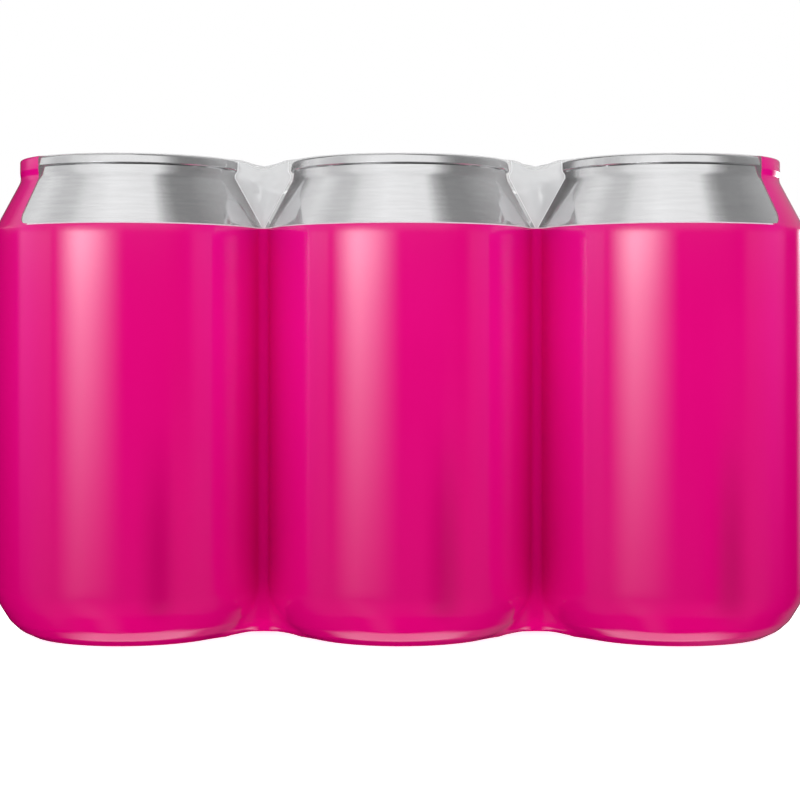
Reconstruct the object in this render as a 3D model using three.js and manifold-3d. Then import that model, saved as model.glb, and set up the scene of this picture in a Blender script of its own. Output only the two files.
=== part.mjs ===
// Six drink cans in two rows of three, held together by one sleeve of shrink film.
// Millimetres, +Z up. The long front faces -Y, the length runs along X, and the pack stands on z = 0.
// The film wraps front, top, back and underside. It shrinks round the end cans and leaves an oval
// opening in the middle of each short end.

import * as THREE from 'three';
import Module from 'manifold-3d';
import { mergeVertices } from 'three/addons/utils/BufferGeometryUtils.js';

const wasm = await Module();
wasm.setup();

// The can: a 33 cl drink can with a narrow end
const CAN_RADIUS = 33.1;
const CAN_HEIGHT = 115.2;
const SEAM_RADIUS = 27.15;
const SEAM_HEIGHT = 2.2;
const SEAM_WIDTH = 1.25;
const SEAM_ROUND = 0.5;
const NECK_RADIUS = 26.4;
const NECK_HEIGHT = 111.6;
const NECK_FLARE = 0.9;
const NECK_FLARE_DROP = 1.6;
const SHOULDER_HEIGHT = 97.6;
const SHOULDER_TUCK = 0.7;
const SHOULDER_RISE = 2.6;
const FOOT_RADIUS = 24.3;
const FLANK_TOP_RADIUS = 31.5;
const FLANK_TOP_HEIGHT = 7.2;
const WALL_START_HEIGHT = 10.6;
const WALL_START_TUCK = 0.6;
const DOME_RADIUS = 21.6;
const DOME_FOOT_HEIGHT = 1.6;
const DOME_HEIGHT = 10.2;

// The lid: countersink groove, raised panel and centre rivet
const PANEL_HEIGHT = 111.2;
const PANEL_RADIUS = 21.3;
const COUNTERSINK_HEIGHT = 108.9;
const COUNTERSINK_RADIUS = 23.1;
const LID_THICKNESS = 0.8;
const RIVET_RADIUS = 2.2;
const RIVET_RISE = 1.7;

// The pull tab lies along the lid, its nose over the pouring side
const TAB_LENGTH = 24;
const TAB_WIDTH = 15.4;
const TAB_THICKNESS = 1.0;
const TAB_NOSE_REACH = 8.2;
const RING_HOLE_LENGTH = 9.6;
const RING_HOLE_WIDTH = 9.2;
const RING_WIDTH = 2.2;
const RIVET_HOLE_RADIUS = 2.7;
const TAB_TURN = [12, -24, 41, 163, 204, -67];

// The pack
const COLUMNS = 3;
const ROWS = 2;
const GAP = 0.3;
const PITCH = 2 * CAN_RADIUS + GAP;
const HALF_PITCH = PITCH / 2;
const END_X = PITCH * (COLUMNS - 1) / 2;

// The film, which is taut over the cans and sinks into the grooves between them
const FILM_THICKNESS = 0.4;
const CAN_BASE = FILM_THICKNESS + GAP;
const FLANK_BRIDGE = 0.3;
const GROOVE_DEPTH = 8.6;
const EDGE_ROUND = 3.2;
const EDGE_REACH = 5;
const SAG = 1.4;
const SAG_START = 1;
const SAG_REACH = 4.8;
const SAG_HEIGHT = 12;
const END_FILLET = 30;
const END_EASE = 26;
const HOLE_HALF_WIDTH = 30;
const HOLE_HALF_HEIGHT = 36;
const LEAST_FACING = 0.6;

// How finely each form is divided
const CAN_SIDES = 24;
const LID_SIDES = 20;
const TAB_SIDES = 16;
const RING_HOLE_SIDES = 9;
const RIVET_HOLE_SIDES = 8;
const CAP_LINE_REACH = 6;
const END_CAN_STEPS = 10;
const MIDDLE_CAN_STEPS = 8;
const GROOVE_STEPS = 4;
const END_ARC_STEPS = 2;
const END_FILLET_STEPS = 4;
const HOLE_SIDES = 28;

const COLOURS = {
  film: { color: 0xdc0578, roughness: 0.3, metalness: 0 },
  can: { color: 0xc4166f, roughness: 0.35, metalness: 0.6 },
  lid: { color: 0xc9cacc, roughness: 0.28, metalness: 1 },
  tab: { color: 0xd3d4d6, roughness: 0.25, metalness: 1 },
};

const group = new THREE.Group();

function addMesh(name, geometry, look) {
  const mesh = new THREE.Mesh(geometry, new THREE.MeshStandardMaterial(COLOURS[look]));
  mesh.name = name;
  group.add(mesh);
  return mesh;
}

// Booleans

function toManifold(geometry) {
  const bare = geometry.clone();
  bare.deleteAttribute('normal');
  bare.deleteAttribute('uv');
  const merged = mergeVertices(bare, 1e-4);
  return new wasm.Manifold(new wasm.Mesh({
    numProp: 3,
    vertProperties: new Float32Array(merged.attributes.position.array),
    triVerts: new Uint32Array(merged.index.array),
  }));
}

function fromManifold(solid) {
  const mesh = solid.getMesh();
  const geometry = new THREE.BufferGeometry();
  geometry.setAttribute('position', new THREE.BufferAttribute(mesh.vertProperties, 3));
  geometry.setIndex(new THREE.BufferAttribute(mesh.triVerts, 1));
  geometry.computeVertexNormals();
  return geometry;
}

// The can

function lathe(points, sides) {
  const profile = points.map(([r, z]) => new THREE.Vector2(r, z));
  const geometry = new THREE.LatheGeometry(profile, sides);
  geometry.rotateX(Math.PI / 2);
  return geometry;
}

// The solid can, filled to just under its lid, on a ring foot round a domed base
function canGeometry() {
  const dome = [0, 0.6].map((share) => [
    share * DOME_RADIUS,
    DOME_HEIGHT * Math.sqrt(1 - share * share),
  ]);
  const underLid = COUNTERSINK_HEIGHT - LID_THICKNESS - GAP;
  const underSeam = CAN_HEIGHT - SEAM_HEIGHT - GAP;
  return lathe([
    ...dome,
    [DOME_RADIUS, DOME_FOOT_HEIGHT],
    [(DOME_RADIUS + FOOT_RADIUS) / 2, 0],
    [FOOT_RADIUS, 0],
    [FLANK_TOP_RADIUS, FLANK_TOP_HEIGHT],
    [CAN_RADIUS - WALL_START_TUCK, (FLANK_TOP_HEIGHT + WALL_START_HEIGHT) / 2],
    [CAN_RADIUS, WALL_START_HEIGHT],
    [CAN_RADIUS, SHOULDER_HEIGHT],
    [CAN_RADIUS - SHOULDER_TUCK, SHOULDER_HEIGHT + SHOULDER_RISE],
    [NECK_RADIUS + NECK_FLARE, NECK_HEIGHT - NECK_FLARE_DROP],
    [NECK_RADIUS, NECK_HEIGHT],
    [NECK_RADIUS, underSeam],
    [COUNTERSINK_RADIUS + 0.75, underLid],
    [0, underLid],
  ], CAN_SIDES);
}

// The end: a rolled seam, a wall down to the countersink, and a panel with a rivet in its middle
function lidGeometry() {
  const seamBottom = CAN_HEIGHT - SEAM_HEIGHT;
  const seamInside = SEAM_RADIUS - SEAM_WIDTH;
  const rivetTop = PANEL_HEIGHT + RIVET_RISE;
  return lathe([
    [0, PANEL_HEIGHT - LID_THICKNESS],
    [PANEL_RADIUS, PANEL_HEIGHT - LID_THICKNESS],
    [COUNTERSINK_RADIUS - 1.3, COUNTERSINK_HEIGHT - LID_THICKNESS],
    [COUNTERSINK_RADIUS + 0.4, COUNTERSINK_HEIGHT - LID_THICKNESS],
    [seamInside, seamBottom],
    [SEAM_RADIUS, seamBottom],
    [SEAM_RADIUS, CAN_HEIGHT - SEAM_ROUND],
    [SEAM_RADIUS - SEAM_ROUND, CAN_HEIGHT],
    [seamInside + SEAM_ROUND / 2, CAN_HEIGHT],
    [COUNTERSINK_RADIUS, COUNTERSINK_HEIGHT],
    [COUNTERSINK_RADIUS - 0.9, COUNTERSINK_HEIGHT],
    [PANEL_RADIUS - 0.4, PANEL_HEIGHT],
    [RIVET_RADIUS, PANEL_HEIGHT],
    [RIVET_RADIUS, rivetTop],
    [0, rivetTop],
  ], LID_SIDES);
}

// An oval in the plane, as a shape or as a hole
function oval(pathClass, centreX, halfLength, halfWidth, sides) {
  const path = new pathClass();
  for (let i = 0; i <= sides; i += 1) {
    const angle = (2 * Math.PI * i) / sides;
    const x = centreX + halfLength * Math.cos(angle);
    const y = halfWidth * Math.sin(angle);
    if (i === 0) path.moveTo(x, y);
    else path.lineTo(x, y);
  }
  return path;
}

function tabGeometry() {
  const centre = TAB_NOSE_REACH - TAB_LENGTH / 2;
  const ringCentre = TAB_NOSE_REACH - TAB_LENGTH + RING_HOLE_LENGTH / 2 + RING_WIDTH;
  const shape = oval(THREE.Shape, centre, TAB_LENGTH / 2, TAB_WIDTH / 2, TAB_SIDES);
  const ringLength = RING_HOLE_LENGTH / 2;
  const ringWidth = RING_HOLE_WIDTH / 2;
  shape.holes.push(
    oval(THREE.Path, ringCentre, ringLength, ringWidth, RING_HOLE_SIDES),
    oval(THREE.Path, 0, RIVET_HOLE_RADIUS, RIVET_HOLE_RADIUS, RIVET_HOLE_SIDES),
  );
  return new THREE.ExtrudeGeometry(shape, { depth: TAB_THICKNESS, bevelEnabled: false });
}

// The film

// The outline that the taut film follows up one can, from the foot ring to the rim
const FILM_PATH = [
  [FOOT_RADIUS, 0],
  [(FOOT_RADIUS + FLANK_TOP_RADIUS) / 2 + FLANK_BRIDGE, FLANK_TOP_HEIGHT / 2],
  [FLANK_TOP_RADIUS + FLANK_BRIDGE, FLANK_TOP_HEIGHT],
  [CAN_RADIUS, WALL_START_HEIGHT],
  [CAN_RADIUS, SHOULDER_HEIGHT],
  [CAN_RADIUS - SHOULDER_TUCK, SHOULDER_HEIGHT + SHOULDER_RISE],
  [SEAM_RADIUS, CAN_HEIGHT - SEAM_HEIGHT],
  [SEAM_RADIUS, CAN_HEIGHT - SEAM_ROUND],
  [SEAM_RADIUS - SEAM_ROUND, CAN_HEIGHT],
];

// The path moved outwards, with flat film below its first point and above its last
function offsetPath(distance) {
  const ends = [[0, 0], ...FILM_PATH, [0, CAN_HEIGHT]];
  const normals = [];
  for (let i = 0; i + 1 < ends.length; i += 1) {
    const [r0, z0] = ends[i];
    const [r1, z1] = ends[i + 1];
    const length = Math.hypot(r1 - r0, z1 - z0);
    normals.push([(z1 - z0) / length, -(r1 - r0) / length]);
  }
  return FILM_PATH.map(([r, z], i) => {
    const [ar, az] = normals[i];
    const [br, bz] = normals[i + 1];
    const share = distance / (1 + ar * br + az * bz);
    return { r: r + share * (ar + br), z: z + share * (az + bz) + CAN_BASE };
  });
}

// A point on a can's own circle. Azimuth 0 faces the front. The chords stay outside the circle.
function onCan(centreX, r, azimuth, step) {
  const reach = r / Math.cos(step / 2);
  return [centreX + reach * Math.sin(azimuth), -HALF_PITCH - reach * Math.cos(azimuth)];
}

function grooveDepthAt(z) {
  const height = CAN_HEIGHT + 2 * CAN_BASE;
  const toEdge = Math.min(z, height - z);
  const share = Math.min(1, Math.max(0, 1 - toEdge / EDGE_REACH));
  const rounding = EDGE_ROUND * (1 - Math.sqrt(1 - share * share));
  return GROOVE_DEPTH - rounding;
}

// The front half of the film's outline at one height, from the left end to the right end
function frontOutline(r, z) {
  const depth = grooveDepthAt(z);
  const fillet = (depth * depth + HALF_PITCH * HALF_PITCH - r * r) / (2 * (r - depth));
  const turn = Math.asin(HALF_PITCH / (r + fillet));
  const points = [];
  for (let column = 0; column < COLUMNS; column += 1) {
    const centreX = column * PITCH - END_X;
    const from = column === 0 ? -Math.PI / 2 : -turn;
    const to = column === COLUMNS - 1 ? Math.PI / 2 : turn;
    const steps = column === 1 ? MIDDLE_CAN_STEPS : END_CAN_STEPS;
    const step = (to - from) / steps;
    for (let i = 0; i <= steps; i += 1) points.push(onCan(centreX, r, from + i * step, step));
    if (column === COLUMNS - 1) break;
    for (let i = 1; i < GROOVE_STEPS; i += 1) {
      const angle = turn * (2 * i / GROOVE_STEPS - 1);
      points.push([
        centreX + HALF_PITCH + fillet * Math.sin(angle),
        -HALF_PITCH - depth - fillet + fillet * Math.cos(angle),
      ]);
    }
  }
  return points;
}

// The right end's outline at one height, from the front can's outermost line to the back can's
function endOutline(r) {
  const centre = Math.sqrt((r + END_FILLET) ** 2 - HALF_PITCH ** 2);
  const lean = Math.asin(HALF_PITCH / (r + END_FILLET));
  const points = [];
  const step = lean / END_ARC_STEPS;
  for (let i = 0; i <= END_ARC_STEPS; i += 1) {
    points.push(onCan(END_X, r, Math.PI / 2 + i * step, step));
  }
  for (let i = 1; i < END_FILLET_STEPS; i += 1) {
    const angle = lean * (2 * i / END_FILLET_STEPS - 1);
    points.push([END_X + centre - END_FILLET * Math.cos(angle), END_FILLET * Math.sin(angle)]);
  }
  for (let i = END_ARC_STEPS; i >= 0; i -= 1) {
    points.push([points[i][0], -points[i][1]]);
  }
  return points;
}

function nearestCanX(x) {
  const column = Math.round((x + END_X) / PITCH);
  return THREE.MathUtils.clamp(column, 0, COLUMNS - 1) * PITCH - END_X;
}

// How far the film sinks between the cans, at its top and at its underside
function sagAt(x, y, r) {
  const away = Math.hypot(x - nearestCanX(x), Math.abs(y) - HALF_PITCH) - r;
  return SAG * THREE.MathUtils.smoothstep(away, SAG_START, SAG_START + SAG_REACH);
}

// Where a cap's grid line lies across the pack. A quarter of the way over, it runs along the inner
// side of the cans' rims, so that the film starts to sink exactly there.
function capY(x, frontY, r, share) {
  const fromCan = x - nearestCanX(x);
  const innerY = -HALF_PITCH + Math.sqrt(Math.max(r * r - fromCan * fromCan, CAP_LINE_REACH ** 2));
  const mirrored = Math.min(share, 1 - share);
  const y = mirrored < 0.25
    ? THREE.MathUtils.lerp(frontY, innerY, mirrored / 0.25)
    : THREE.MathUtils.lerp(innerY, 0, (mirrored - 0.25) / 0.25);
  return share > 0.5 ? -y : y;
}

// The film's closed outer surface, with no opening yet, as flat lists of points and triangles
function outerSurface() {
  const levels = offsetPath(GAP + FILM_THICKNESS);
  const top = levels.length - 1;
  const across = 2 * END_ARC_STEPS + END_FILLET_STEPS;
  const along = frontOutline(levels[0].r, levels[0].z).length - 1;
  const around = 2 * (along + across);
  const positions = [];
  const triangles = [];

  const addPoint = (x, y, level) => {
    const { r, z } = levels[level];
    const sag = sagAt(x, y, r);
    const nearTop = THREE.MathUtils.smoothstep(z, levels[top].z - SAG_HEIGHT, levels[top].z);
    const nearFoot = 1 - THREE.MathUtils.smoothstep(z, levels[0].z, levels[0].z + SAG_HEIGHT);
    positions.push(x, y, z + sag * (nearFoot - nearTop));
    return positions.length / 3 - 1;
  };
  const addQuad = (a, b, c, d) => triangles.push(a, b, c, a, c, d);

  const ends = [];
  const fronts = [];
  levels.forEach(({ r, z }, level) => {
    const front = frontOutline(r, z);
    const end = endOutline(r);
    front[0] = [-end[0][0], end[0][1]];
    front[along] = end[0];
    fronts.push(front);
    ends.push(end);
    front.forEach(([x, y]) => addPoint(x, y, level));
    end.slice(1, across).forEach(([x, y]) => addPoint(x, y, level));
    front.toReversed().forEach(([x, y]) => addPoint(x, -y, level));
    end.slice(1, across).toReversed().forEach(([x, y]) => addPoint(-x, y, level));
  });

  for (let level = 0; level < top; level += 1) {
    for (let n = 0; n < around; n += 1) {
      const next = (n + 1) % around;
      const low = level * around;
      addQuad(low + n, low + next, low + around + next, low + around + n);
    }
  }

  // The index in the outline of a cap's edge point
  const edgeIndex = (k, j) => {
    if (j === 0) return k;
    if (k === along) return along + j;
    if (j === across) return along + across + (along - k);
    return 2 * along + across + (across - j);
  };

  [0, top].forEach((level) => {
    const front = fronts[level];
    const end = ends[level];
    const index = [];
    for (let k = 0; k <= along; k += 1) {
      index.push([]);
      for (let j = 0; j <= across; j += 1) {
        const onEdge = k === 0 || k === along || j === 0 || j === across;
        if (onEdge) {
          index[k].push(level * around + edgeIndex(k, j));
          continue;
        }
        const pull = end[0][0] - end[j][0];
        const ease = Math.max(0, 1 - (end[0][0] - Math.abs(front[k][0])) / END_EASE);
        const x = front[k][0] - Math.sign(front[k][0]) * pull * ease;
        index[k].push(addPoint(x, capY(x, front[k][1], levels[level].r, j / across), level));
      }
    }
    for (let k = 0; k < along; k += 1) {
      for (let j = 0; j < across; j += 1) {
        const corners = [index[k][j], index[k + 1][j], index[k + 1][j + 1], index[k][j + 1]];
        if (level === 0) corners.reverse();
        addQuad(...corners);
      }
    }
  });

  return { positions, triangles };
}

// The same surface moved inwards by the film's thickness, each point square to the faces round it
function innerPositions({ positions, triangles }) {
  const corner = (i) => new THREE.Vector3().fromArray(positions, 3 * i);
  const sums = positions.map(() => 0);
  const faces = [];
  for (let i = 0; i < triangles.length; i += 3) {
    const [a, b, c] = triangles.slice(i, i + 3);
    const origin = corner(a);
    const ab = corner(b).sub(origin);
    const ac = corner(c).sub(origin);
    const across = ab.cross(ac);
    [a, b, c].forEach((n) => {
      sums[3 * n] += across.x;
      sums[3 * n + 1] += across.y;
      sums[3 * n + 2] += across.z;
    });
    faces.push([[a, b, c], across.normalize()]);
  }
  const normals = [];
  for (let n = 0; n < sums.length; n += 3) {
    normals.push(new THREE.Vector3().fromArray(sums, n).normalize());
  }
  const facing = normals.map(() => 1);
  faces.forEach(([corners, normal]) => corners.forEach((n) => {
    facing[n] = Math.min(facing[n], normals[n].dot(normal));
  }));
  return positions.map((value, i) => {
    const n = Math.floor(i / 3);
    const reach = FILM_THICKNESS / Math.max(LEAST_FACING, facing[n]);
    return value - reach * normals[n].getComponent(i % 3);
  });
}

function closedSolid(positions, triangles) {
  return new wasm.Manifold(new wasm.Mesh({
    numProp: 3,
    vertProperties: new Float32Array(positions),
    triVerts: new Uint32Array(triangles),
  }));
}

function filmGeometry() {
  const outer = outerSurface();
  const inner = innerPositions(outer);
  const opening = new THREE.CylinderGeometry(1, 1, 4 * END_X, HOLE_SIDES);
  opening.rotateZ(Math.PI / 2);
  opening.scale(1, HOLE_HALF_WIDTH, HOLE_HALF_HEIGHT);
  opening.translate(0, 0, CAN_BASE + CAN_HEIGHT / 2);
  const skin = closedSolid(outer.positions, outer.triangles)
    .subtract(closedSolid(inner, outer.triangles));
  return fromManifold(skin.subtract(toManifold(opening)));
}

// The pack: each can with its lid and tab, column by column, then the film round them all

const canShape = canGeometry();
const lidShape = lidGeometry();
const tabShape = tabGeometry();

for (let row = 0; row < ROWS; row += 1) {
  for (let column = 0; column < COLUMNS; column += 1) {
    const label = `${row === 0 ? 'front' : 'back'}_${column + 1}`;
    const can = addMesh(`can_${label}`, canShape, 'can');
    const lid = addMesh(`lid_${label}`, lidShape, 'lid');
    const tab = addMesh(`tab_${label}`, tabShape, 'tab');
    const x = column * PITCH - END_X;
    const y = (row - 0.5) * PITCH;
    [can, lid].forEach((mesh) => mesh.position.set(x, y, CAN_BASE));
    tab.position.set(x, y, CAN_BASE + PANEL_HEIGHT + GAP);
    tab.rotation.z = THREE.MathUtils.degToRad(TAB_TURN[row * COLUMNS + column]);
  }
}

addMesh('film', filmGeometry(), 'film');

export default group;
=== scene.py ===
import math

import bpy
import numpy as np
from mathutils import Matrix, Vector


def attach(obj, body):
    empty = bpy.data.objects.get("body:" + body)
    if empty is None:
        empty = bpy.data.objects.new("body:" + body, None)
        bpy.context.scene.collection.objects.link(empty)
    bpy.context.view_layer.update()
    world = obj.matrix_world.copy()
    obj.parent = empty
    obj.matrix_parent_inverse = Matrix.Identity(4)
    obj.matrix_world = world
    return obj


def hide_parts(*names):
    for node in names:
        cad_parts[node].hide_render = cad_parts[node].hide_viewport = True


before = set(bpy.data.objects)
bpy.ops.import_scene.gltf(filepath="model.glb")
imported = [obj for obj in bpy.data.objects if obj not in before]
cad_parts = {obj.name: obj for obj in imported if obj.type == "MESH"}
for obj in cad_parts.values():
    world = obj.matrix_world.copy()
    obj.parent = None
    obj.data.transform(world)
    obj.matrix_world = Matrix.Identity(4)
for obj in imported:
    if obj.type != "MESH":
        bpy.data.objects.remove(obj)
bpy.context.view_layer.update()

# Shapes are worked out in millimetres
MM = 0.001

# The can
CAN_RADIUS = 33.1
CAN_HEIGHT = 115.2
SEAM_RADIUS = 27.0
SEAM_HEIGHT = 2.2
SEAM_WIDTH = 1.25
NECK_RADIUS = 26.4
NECK_HEIGHT = 110.8
SHOULDER_HEIGHT = 98.3
FOOT_RADIUS = 24.3
FLANK_TOP_RADIUS = 31.5
FLANK_TOP_HEIGHT = 7.2
WALL_START_HEIGHT = 10.6
DOME_RADIUS = 21.6
DOME_FOOT_HEIGHT = 1.6
DOME_HEIGHT = 10.2
DOME_STEPS = 12
CAN_PRINT_TOP = 96.4
BARE_BASE_HEIGHT = 9
BARE_BASE_RADIUS = 23
CAN_SIDES = 120

# The lid
PANEL_HEIGHT = 111.2
PANEL_RADIUS = 21.3
COUNTERSINK_HEIGHT = 108.9
COUNTERSINK_RADIUS = 23.1
LID_THICKNESS = 0.5
RIVET_RADIUS = 2.2
RIVET_RISE = 1.7
PANEL_SPACING = 0.55
LID_SIDES = 144

# What is pressed into the lid's panel: ovals as (centre, half length, half width), their heights and
# the widths of their slopes
PRESSED_FROM_RADIUS = 3.2
SCORE_OVAL = (10.2, 8.9, 10.4)
SCORE_DEPTH = 0.22
SCORE_WIDTH = 0.35
BEAD_OVAL = (10.6, 6.2, 7.4)
BEAD_RISE = 0.35
BEAD_WIDTH = 0.8
WELL_OVAL = (-11.4, 6.2, 6.8)
WELL_DEPTH = 0.9
WELL_SLOPE = (-0.4, 2.6)
RIM_OVAL = (-1.0, 18.6, 13.2)
RIM_RISE = 0.25
RIM_WIDTH = 0.9
RIM_FADE = (-2, 2)

# The pull tab
TAB_LENGTH = 24.0
TAB_WIDTH = 15.4
TAB_THICKNESS = 1.0
TAB_NOSE_REACH = 8.2
RING_HOLE_LENGTH = 9.6
RING_HOLE_WIDTH = 9.2
RING_WIDTH = 2.2
RIVET_HOLE_RADIUS = 2.7
RIVET_HOLE_MARGIN = 0.4
TAB_BEVEL = 0.4
TAB_TAPER = 0.03
TAB_LENGTH_POWER = 0.92
TAB_WIDTH_POWER = 0.86
TAB_SIDES = 72
HOLE_SIDES = 40
TAB_TURN = [12, -24, 41, 163, 204, -67]

# The pack
ROWS = 2
COLUMNS = 3
GAP = 0.3
PITCH = 2 * CAN_RADIUS + GAP
HALF_PITCH = PITCH / 2
END_X = PITCH
CAN_BASE = 0.95

# The film
FILM_THICKNESS = 0.1
GROOVE_DEPTH = 8.6
EDGE_ROUND = 3.2
EDGE_REACH = 5.0
SAG_TOP = 1.4
SAG_FOOT = 1.0
SAG_START = 1.0
SAG_REACH = 4.8
SAG_HEIGHT = 12.0
END_FILLET = 30.0
END_EASE = 26.0
HOLE_HALF_WIDTH = 30.0
HOLE_HALF_HEIGHT = 36.0
HOLE_HEIGHT = CAN_BASE + CAN_HEIGHT / 2
HOLE_BEAD = 0.42
BEAD_SIDES = 8
PUCKER_DEPTH = 0.26
PUCKER_REACH = 7.0
PUCKER_COUNTS = (23, 37)
PUCKER_PHASES = (1.3, 2.1)
PUCKER_SECOND_SHARE = 0.6
PUCKER_LIFT = 1.6
PUCKER_FADE = (14, 24)

# The clear window in the print
WINDOW_LOW = 99.8
WINDOW_AZIMUTH = math.radians(46.8)
WINDOW_CORNER = 3.2
# A pale line of this width runs along the print's lower edge by the window
PALE_LINE_WIDTH = 0.28

# The print is painted paler on each can's flanks as painted light, but not at the pack's ends, and less
# so in the grooves. Painted shade darkens it downwards from the start height below, and its gloss goes
# in the grooves
PRINT_COLOURS = ((0.705, 0.0012, 0.178), (0.745, 0.0022, 0.2))
PRINT_ROUGHNESS = (0.09, 0.11)
PRINT_SPECULAR = 0.5
FLANK_LIGHT_COLOUR = (0.78, 0.003, 0.245)
FLANK_SIDES = (14.0, 24.0)
FLANK_ENDS = (87.0, 94.0)
# Painted shade: below this height the print is painted darker downwards, towards this colour
DOWNWARD_SHADE_START = 75.0
DOWNWARD_SHADE_COLOUR = (0.575, 0.0006, 0.138)
GROOVE_DULL_START = 3.6
GROOVE_DULL_FULL = 1.0
GROOVE_DULL_END = (0.01, 0.02)
GROOVE_DULL_AND_SHADE = -0.5

# Painted shade: a soft darker field low on each can, right of its middle
SHADE_SIDES = (4.5, 10.5, 16.0)
SHADE_HEIGHTS = (5.0, 11.0, 16.0, 58.0)
SHADE_COLOUR = (0.49, 0.0006, 0.115)

# The other colours and surfaces
# The whitish pink of the pale line along the print's lower edge
PALE_LINE_COLOURS = ((0.80, 0.62, 0.72), (0.86, 0.68, 0.78))
PALE_LINE_ROUGHNESS = (0.22, 0.3)
CAN_PRINT_COLOURS = ((0.66, 0.004, 0.17), (0.68, 0.005, 0.176))
CAN_PRINT_ROUGHNESS = (0.28, 0.36)
CAN_PRINT_METALLIC = 0.2
CLEAR_COLOUR = (0.96, 0.97, 0.98)
CLEAR_ROUGHNESS = (0.1, 0.16)
PALE_METAL = (0.88, 0.88, 0.89)
LID_METAL_COLOUR = (0.84, 0.84, 0.85)
METAL_DULL_SHARE = 0.94
METAL_ROUGH_SPREAD = (-0.03, 0.04)

# Most of a noise lies between these values, and most of the metal's finer one between the second two
NOISE_SPAN = (0.3, 0.7)
GRAIN_SPAN = (0.35, 0.65)

# The clear film that spans freely between two necks is milky white, partly the film's haze and partly
# a painted sheen, less so higher up. It starts at the straight line from the shoulder to the neck,
# given as heights and distances from the can's axis
NECK_LINE = ((99.6, 111.6), (33.4, 26.9))
SEAM_STEP = ((112.2, 113.6), (0.0, 0.6))
SPAN_START = (-0.6, -0.35)
SPAN_DEPTH = (36.0, 38.5)
MILK = ((99.0, 106.0), (0.62, 0.5))
UPRIGHT_FADE = (0.55, 0.75)
LINE_FADE = (-0.35, -0.1)
# Painted highlight: the spanning film is painted nearly white along the line where it leaves each neck
GLINT_LINE_SHARE = 0.95
EDGE_MILK = (0.01, 0.6)
EDGE_BLEND = 0.12

# How finely the film is divided
CAN_STEPS = 40
FOCUS_SAMPLES = 400
FOCUS_GAIN = 2.5
FOCUS_WIDTH = 0.07
GROOVE_STEPS = 10
END_ARC_STEPS = 12
END_FILLET_STEPS = 18
ROW_HEIGHT = 1.9
CORNER_ROW_HEIGHT = 0.5


# Paths and meshes

# A rounded corner takes at most this share of each leg beside it
LEG_SHARE = 0.48


def rounded(points, radii, steps=6):
    """The path with a curve of about that radius in place of each inner corner."""
    points = [np.array(p, float) for p in points]
    path = [points[0]]
    for i in range(1, len(points) - 1):
        before = points[i - 1] - points[i]
        after = points[i + 1] - points[i]
        room = LEG_SHARE * min(np.linalg.norm(before), np.linalg.norm(after))
        before /= np.linalg.norm(before)
        after /= np.linalg.norm(after)
        turn = math.acos(float(np.clip(np.dot(before, after), -1, 1)))
        reach = min(room, radii[i] / max(math.tan(turn / 2), 1e-6))
        if reach < 1e-4:
            path.append(points[i])
            continue
        for step in range(steps + 1):
            s = step / steps
            start = points[i] + before * reach
            end = points[i] + after * reach
            path.append((1 - s) ** 2 * start + 2 * s * (1 - s) * points[i] + s * s * end)
    path.append(points[-1])
    return np.array(path)


def refined(path, spacing):
    """The path with its long stretches divided, so that no step is longer than spacing."""
    result = [path[0]]
    for start, end in zip(path[:-1], path[1:]):
        parts = max(1, math.ceil(float(np.linalg.norm(end - start)) / spacing))
        for i in range(1, parts + 1):
            result.append(start + (end - start) * i / parts)
    return np.array(result)


def smoothstep(x, low, high):
    s = np.clip((x - low) / (high - low), 0, 1)
    return s * s * (3 - 2 * s)


def make_object(name, points, faces, materials, face_materials=None, sharp=40):
    """A smooth-shaded mesh object from points in millimetres."""
    mesh = bpy.data.meshes.new(name)
    mesh.from_pydata((np.asarray(points) * MM).tolist(), [], faces)
    mesh.update()
    mesh.shade_smooth()
    mesh.set_sharp_from_angle(angle=math.radians(sharp))
    piece = bpy.data.objects.new(name, mesh)
    bpy.context.scene.collection.objects.link(piece)
    for material in materials:
        mesh.materials.append(material)
    if face_materials is not None:
        mesh.polygons.foreach_set("material_index", np.array(face_materials, np.int32))
    return piece


def lathe(profile, sides):
    """Points and quads of a path of (radius, height) turned about Z, also from axis to axis."""
    points = []
    rings = []
    for r, z in profile:
        if r < 1e-6:
            rings.append([len(points)] * sides)
            points.append((0, 0, z))
            continue
        rings.append(list(range(len(points), len(points) + sides)))
        for i in range(sides):
            angle = 2 * math.pi * i / sides
            points.append((r * math.cos(angle), r * math.sin(angle), z))
    faces = []
    for low, high in zip(rings[:-1], rings[1:]):
        for i in range(sides):
            j = (i + 1) % sides
            face = list(dict.fromkeys([low[i], low[j], high[j], high[i]]))
            faces.append(face)
    return np.array(points, float), faces


# The film's surface


# The film's outline up a can as (radius, height): it lies on the surface at the foot, hugs the wall
# and runs straight from the shoulder to the seam
FILM_CORNERS = [
    (23.7, 0.0),
    (27.2, 1.7),
    (29.7, 4.0),
    (32.3, 8.2),
    (33.25, 11.2),
    (33.25, 99.35),
    (26.95, 111.3),
    (27.2, 113.3),
    (27.2, 116.4),
]
FILM_TOP = 116.4
CORNER_RADII = [0, 2.0, 6, 6, 9, 14, 1.5, 3, 1, 0.8, 0]
FLAT_START = 3.0


def film_levels():
    """The film's (radius, height) at each row of points, closer together at the window's corners."""
    first = (FILM_CORNERS[0][0] - FLAT_START, FILM_CORNERS[0][1])
    last = (FILM_CORNERS[-1][0] - FLAT_START, FILM_CORNERS[-1][1])
    path = refined(rounded([first, *FILM_CORNERS, last], CORNER_RADII), ROW_HEIGHT)
    near = np.abs(path[:, 1] - WINDOW_LOW - WINDOW_CORNER / 2) < WINDOW_CORNER
    start, stop = np.flatnonzero(near)[[0, -1]]
    fine = refined(path[start : stop + 1], CORNER_ROW_HEIGHT)
    return np.vstack([path[:start], fine, path[stop + 1 :]])


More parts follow.
